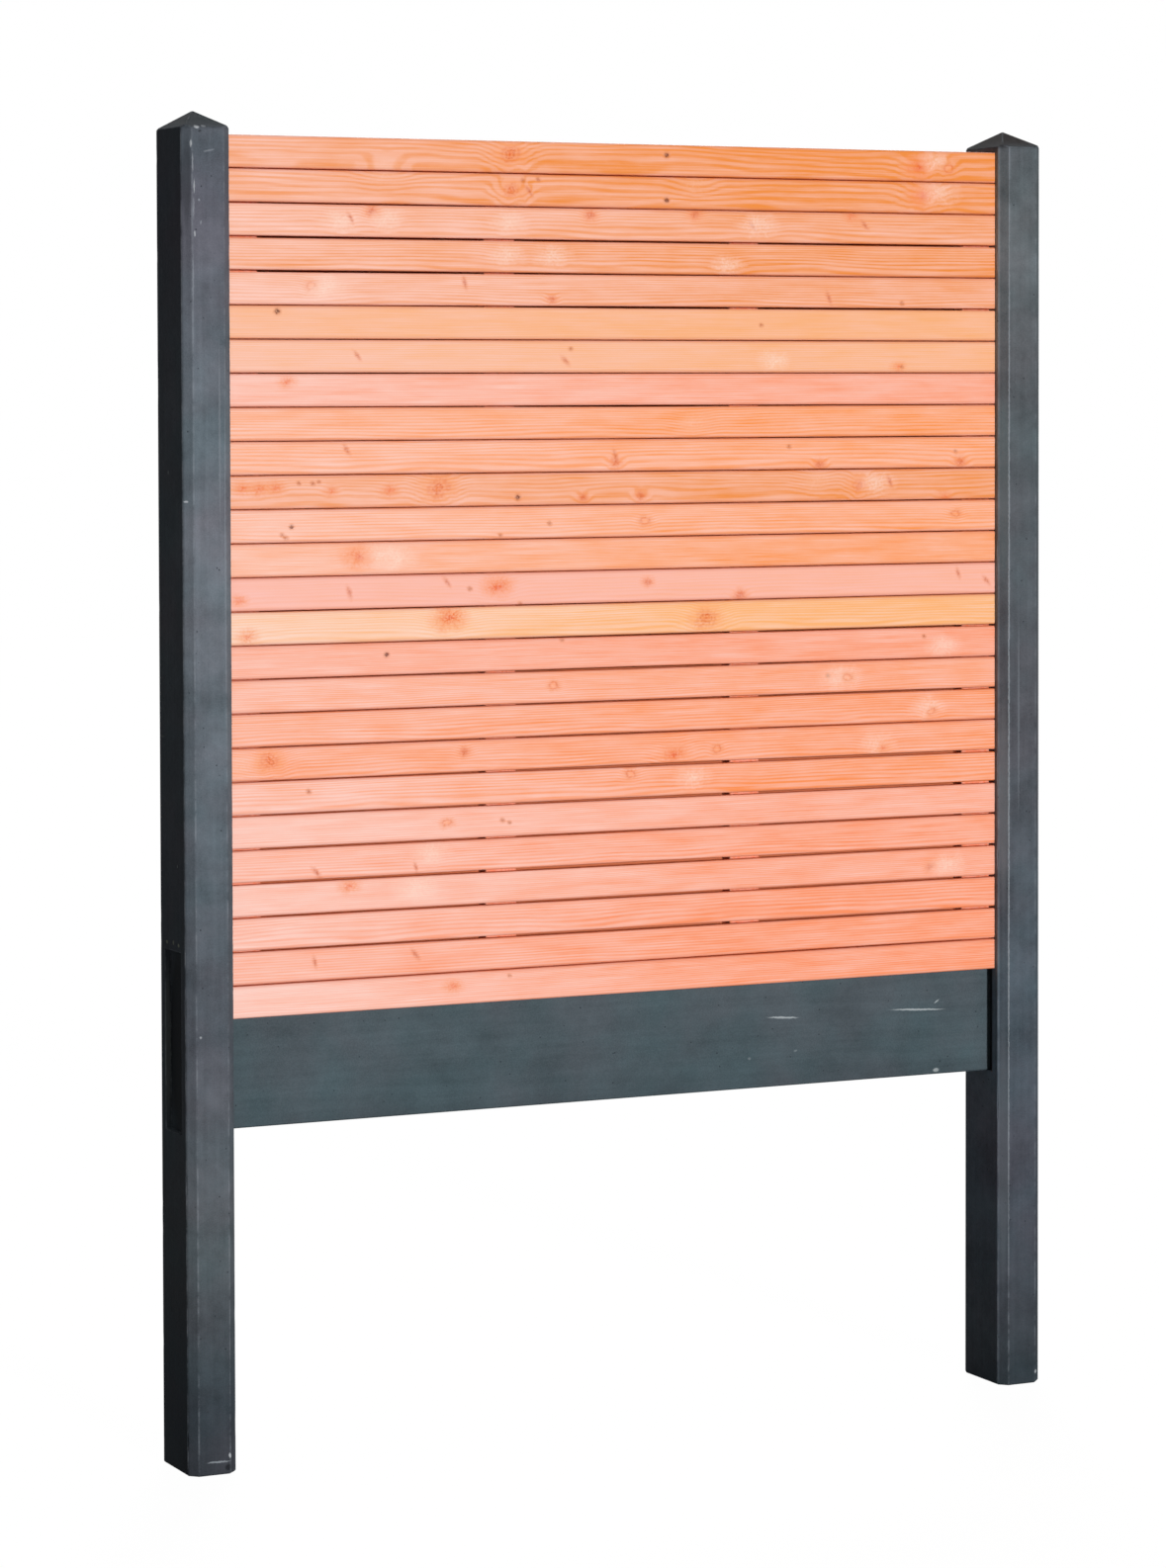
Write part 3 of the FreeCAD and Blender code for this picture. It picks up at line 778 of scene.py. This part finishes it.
def addScrew(bm, place, direction, height):
    # a round head with a driving recess, its underside at the given place
    before = set(bm.verts)
    radius = steel["headRadius"] * mm
    bmesh.ops.create_cone(bm, cap_ends=True, segments=12, radius1=radius, radius2=radius * steel["topShare"],
                          depth=height * mm, matrix=Matrix.Translation((0, 0, height * mm / 2)))
    head = [v for v in bm.verts if v not in before]
    top = max({f for v in head for f in v.link_faces}, key=lambda f: f.calc_center_median().z)
    bmesh.ops.inset_region(bm, faces=[top], thickness=radius * steel["recessInset"])
    bmesh.ops.translate(bm, vec=(0, 0, -height * mm * steel["recessDepth"]), verts=top.verts)
    turn = Vector(direction).to_track_quat("Z", "Y").to_matrix().to_4x4()
    head = [v for v in bm.verts if v not in before]
    bmesh.ops.transform(bm, matrix=Matrix.Translation(place) @ turn, verts=head)


rearLow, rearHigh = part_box("rear_boards")
bm = bmesh.new()
for number in range(1, rear["battens"] + 1):
    low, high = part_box("batten_%d" % number)
    inward = {1: 1, rear["battens"]: -1}.get(number, 0)
    x = (low[0] + high[0]) / 2 + inward * steel["outerShift"] * mm
    for board in range(slats["count"] - 1):
        middle = rearLow[2] + (slats["height"] / 2 + board * slats["pitch"]) * mm
        for rise in (-steel["screwRise"], steel["screwRise"]):
            addScrew(bm, (x, rearHigh[1], middle + rise * mm), (0, 1, 0), steel["flatHeight"])
addPiece("rear_screws", bm, zinc, "zinc_steel")

bm = bmesh.new()
for side in ("left", "right"):
    for level in ("low", "middle", "high"):
        bracket = "bracket_%s_%s" % (side, level)
        dress(bracket, zinc)
        low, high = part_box(bracket)
        inward = 1 if side == "left" else -1
        postFace, freeEnd = (low[0], high[0]) if side == "left" else (high[0], low[0])
        for rise in (-0.5, 0.5):
            z = (low[2] + high[2]) / 2 + rise * steel["holePitch"] * mm
            onScreen = (freeEnd - inward * steel["holeEdge"] * mm, low[1] + steel["thickness"] * mm, z)
            onPost = (postFace + inward * steel["thickness"] * mm, high[1] - steel["holeEdge"] * mm, z)
            addScrew(bm, onScreen, (0, 1, 0), steel["panHeight"])
            addScrew(bm, onPost, (inward, 0, 0), steel["panHeight"])
addPiece("bracket_screws", bm, zinc, "zinc_steel")
print("brackets and screws done")


# Floor and light
studio = {
    "floorSize": 60,          # m
    "floorPaint": "#8a8a8a",
    "floorShadow": 0.12,      # share of the floor's own shade that the camera sees
    "floorGlow": 1.12,        # over 1, so that paint and glow together come out white
    "ambient": 0.085,
    "key": {"strength": 2.82, "from": (0.02, -1.0, 0.11), "angle": 5},
    "back": {"strength": 2.4, "from": (0.5, 1.0, 0.55), "angle": 20},
    "lampDistance": 5,        # m, only to have them out of the way: a sun shines alike from anywhere
}


def seenDirectly(tree):
    # 1 where the camera looks, also in a mirror or through glass, and 0 for the light that falls on things
    path = addNode(tree, "LightPath")
    seen = addNode(tree, "Math", {
        0: path.outputs["Is Camera Ray"], 1: path.outputs["Is Glossy Ray"]}, operation="MAXIMUM")
    seen = addNode(tree, "Math", {
        0: seen.outputs[0], 1: path.outputs["Is Transmission Ray"]}, operation="MAXIMUM")
    return seen.outputs[0]


bm = bmesh.new()
bmesh.ops.create_grid(bm, x_segments=1, y_segments=1, size=studio["floorSize"] / 2)
mesh = bpy.data.meshes.new("floor")
bm.to_mesh(mesh)
bm.free()
floor = bpy.data.objects.new("floor", mesh)
bpy.context.scene.collection.objects.link(floor)
# white paint, with a glow for the camera so that it shows as the photo's white and keeps a trace of shadow
material, tree = newMaterial("paleFloor")
share = addNode(tree, "Math", {0: seenDirectly(tree), 1: 1 - studio["floorShadow"]}, operation="MULTIPLY")
paint = addNode(tree, "BsdfDiffuse", {"Color": linear(studio["floorPaint"])})
glow = addNode(tree, "Emission", {"Color": (1, 1, 1, 1), "Strength": studio["floorGlow"]})
floorMix = addNode(tree, "MixShader", {0: share.outputs[0], 1: paint.outputs[0], 2: glow.outputs[0]})
addNode(tree, "OutputMaterial", {"Surface": floorMix.outputs[0]})
mesh.materials.append(material)

world = bpy.data.worlds.new("studio")
bpy.context.scene.world = world
world.use_nodes = True
tree = world.node_tree
tree.nodes.clear()
ambient = addNode(tree, "Background", {"Color": (1, 1, 1, 1), "Strength": studio["ambient"]})
white = addNode(tree, "Background", {"Color": (1, 1, 1, 1), "Strength": 1})
worldMix = addNode(tree, "MixShader", {0: seenDirectly(tree), 1: ambient.outputs[0], 2: white.outputs[0]})
addNode(tree, "OutputWorld", {"Surface": worldMix.outputs[0]})

for name in ("key", "back"):
    lamp = studio[name]
    light = bpy.data.lights.new(name + "Light", "SUN")
    light.energy = lamp["strength"]
    light.angle = math.radians(lamp["angle"])
    sun = bpy.data.objects.new(name + "Light", light)
    bpy.context.scene.collection.objects.link(sun)
    sun.location = Vector(lamp["from"]) * studio["lampDistance"]
    sun.rotation_euler = Vector(lamp["from"]).to_track_quat("Z", "Y").to_euler()
print("studio done")


# Camera: at the photograph's viewing angle
camera = {
    "place": (-3.282422, -8.637523, 2.200554),
    "turn": 25.719,     # degrees from +Y towards +X
    "tilt": 2.0,        # degrees down
    "roll": -0.147,
    "lens": 103.79,
    "sensor": 36,
    "shiftY": -0.149,
    "sight": 200,       # m
}
lens = bpy.data.cameras.new("camera")
lens.lens = camera["lens"]
lens.sensor_width = camera["sensor"]
lens.shift_y = camera["shiftY"]
lens.clip_end = camera["sight"]
eye = bpy.data.objects.new("camera", lens)
bpy.context.scene.collection.objects.link(eye)
eye.matrix_world = (
    Matrix.Translation(camera["place"])
    @ Matrix.Rotation(math.radians(-camera["turn"]), 4, "Z")
    @ Matrix.Rotation(math.radians(90 - camera["tilt"]), 4, "X")
    @ Matrix.Rotation(math.radians(camera["roll"]), 4, "Z")
)
bpy.context.scene.camera = eye
bpy.context.scene.view_settings.view_transform = "Standard"
